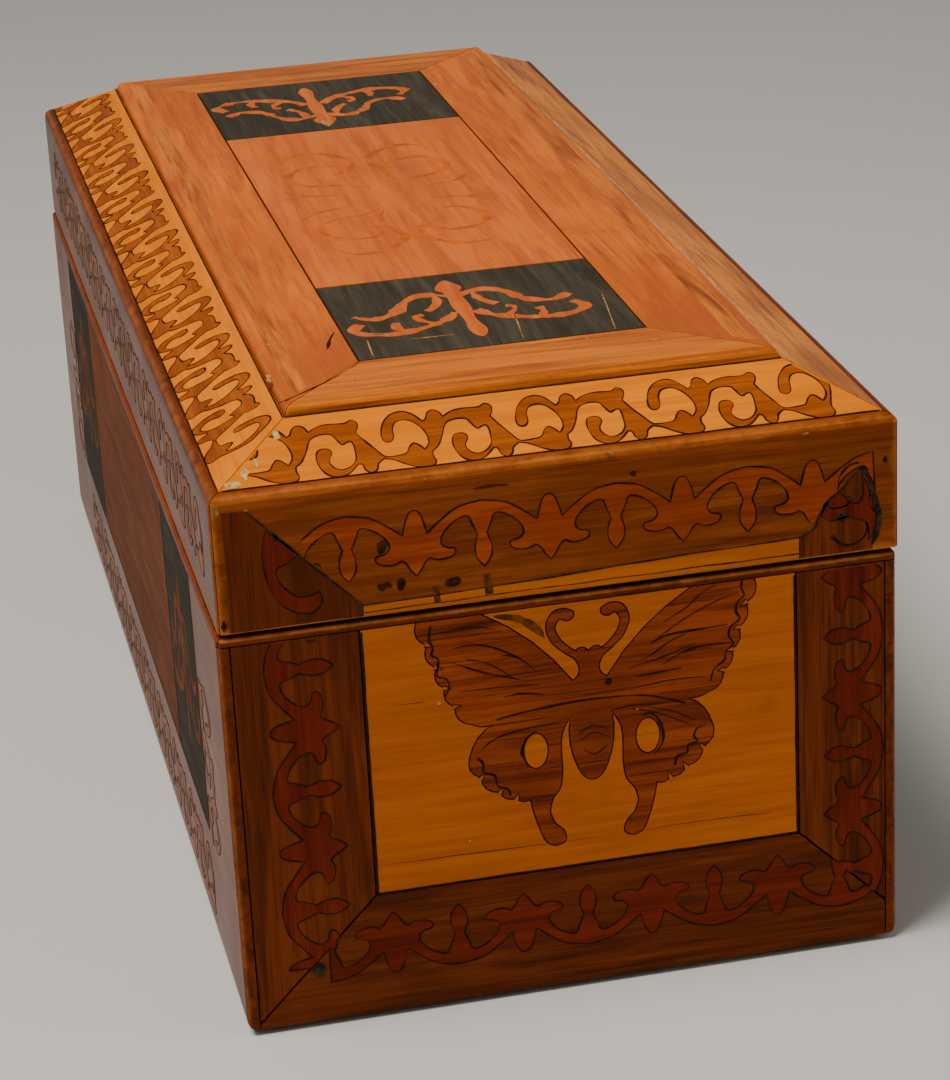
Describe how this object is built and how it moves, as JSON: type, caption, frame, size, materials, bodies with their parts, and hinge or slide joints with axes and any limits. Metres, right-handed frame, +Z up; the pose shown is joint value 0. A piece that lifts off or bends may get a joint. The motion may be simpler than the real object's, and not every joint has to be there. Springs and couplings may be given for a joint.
{
  "type": "marquetry puzzle box",
  "caption": "Wooden marquetry puzzle box with a hinged bevelled lid, a sliding front that hides the keyhole and a secret end drawer.",
  "frame": {"origin": "on the resting face of the bottom board, under the middle of the box", "axes": "+Z up, +Y along the box away from the butterfly end, +X towards the hinged back"},
  "size_m": [0.1553, 0.338, 0.1383],
  "materials": {
    "walnut": "gloss",
    "maple": "gloss",
    "red_stained_wood": "gloss",
    "ebonised_wood": "satin",
    "core_wood": "matte",
    "brass": "satin",
    "steel": "satin"
  },
  "bodies": {
    "case": {"bottom_board": "core_wood", "front_wall": "core_wood", "back_wall": "core_wood", "near_wall": "core_wood", "far_wall": "core_wood", "back_facing": "walnut", "far_facing": "walnut", "near_stile_left": "walnut", "near_stile_right": "walnut", "near_panel": "maple", "butterfly_inlay": "walnut", "rim_front": "red_stained_wood", "rim_back": "red_stained_wood", "rim_near": "red_stained_wood", "rim_far": "red_stained_wood", "lock_case": "brass", "escutcheon": "brass", "drawer_guide_left": "core_wood", "drawer_guide_right": "core_wood", "false_floor": "core_wood", "near_hinge_case_leaf": "brass", "near_hinge_pin": "brass", "near_hinge_case_screw_1": "brass", "near_hinge_case_screw_2": "brass", "far_hinge_case_leaf": "brass", "far_hinge_pin": "brass", "far_hinge_case_screw_1": "brass", "far_hinge_case_screw_2": "brass"},
    "front_slide": {"front_slide_board": "walnut", "front_slide_rail": "core_wood"},
    "drawer": {"drawer_rail": "walnut", "drawer_front": "core_wood", "drawer_side_left": "maple", "drawer_side_right": "maple", "drawer_back": "maple", "drawer_bottom": "maple", "key": "steel"},
    "bolt": {"lock_bolt": "steel"},
    "lid": {"lid_front_wall": "walnut", "lid_back_wall": "walnut", "lid_near_wall": "walnut", "lid_far_wall": "walnut", "bevel_front": "maple", "bevel_back": "walnut", "bevel_near": "maple", "bevel_far": "maple", "top_board": "core_wood", "top_border_front": "red_stained_wood", "top_border_near": "red_stained_wood", "top_border_back": "red_stained_wood", "top_border_far": "red_stained_wood", "cartouche_near": "ebonised_wood", "cartouche_far": "ebonised_wood", "centre_field": "red_stained_wood", "near_hinge_lid_leaf": "brass", "near_hinge_lid_screw_1": "brass", "near_hinge_lid_screw_2": "brass", "far_hinge_lid_leaf": "brass", "far_hinge_lid_screw_1": "brass", "far_hinge_lid_screw_2": "brass"}
  },
  "joints": [
    {"name": "lid_hinge", "type": "hinge", "parent": "case", "child": "lid", "pos_m": [0.0781, 0, 0.096], "axis": [0, 1, 0], "range_deg": [0, 95]},
    {"name": "front_slide", "type": "slide", "parent": "case", "child": "front_slide", "axis": [0, 1, 0], "range_m": [0, 0.04]},
    {"name": "drawer_slide", "type": "slide", "parent": "case", "child": "drawer", "axis": [0, -1, 0], "range_m": [0, 0.11]},
    {"name": "bolt_slide", "type": "slide", "parent": "case", "child": "bolt", "axis": [0, 0, 1], "range_m": [0, 0.006]}
  ]
}
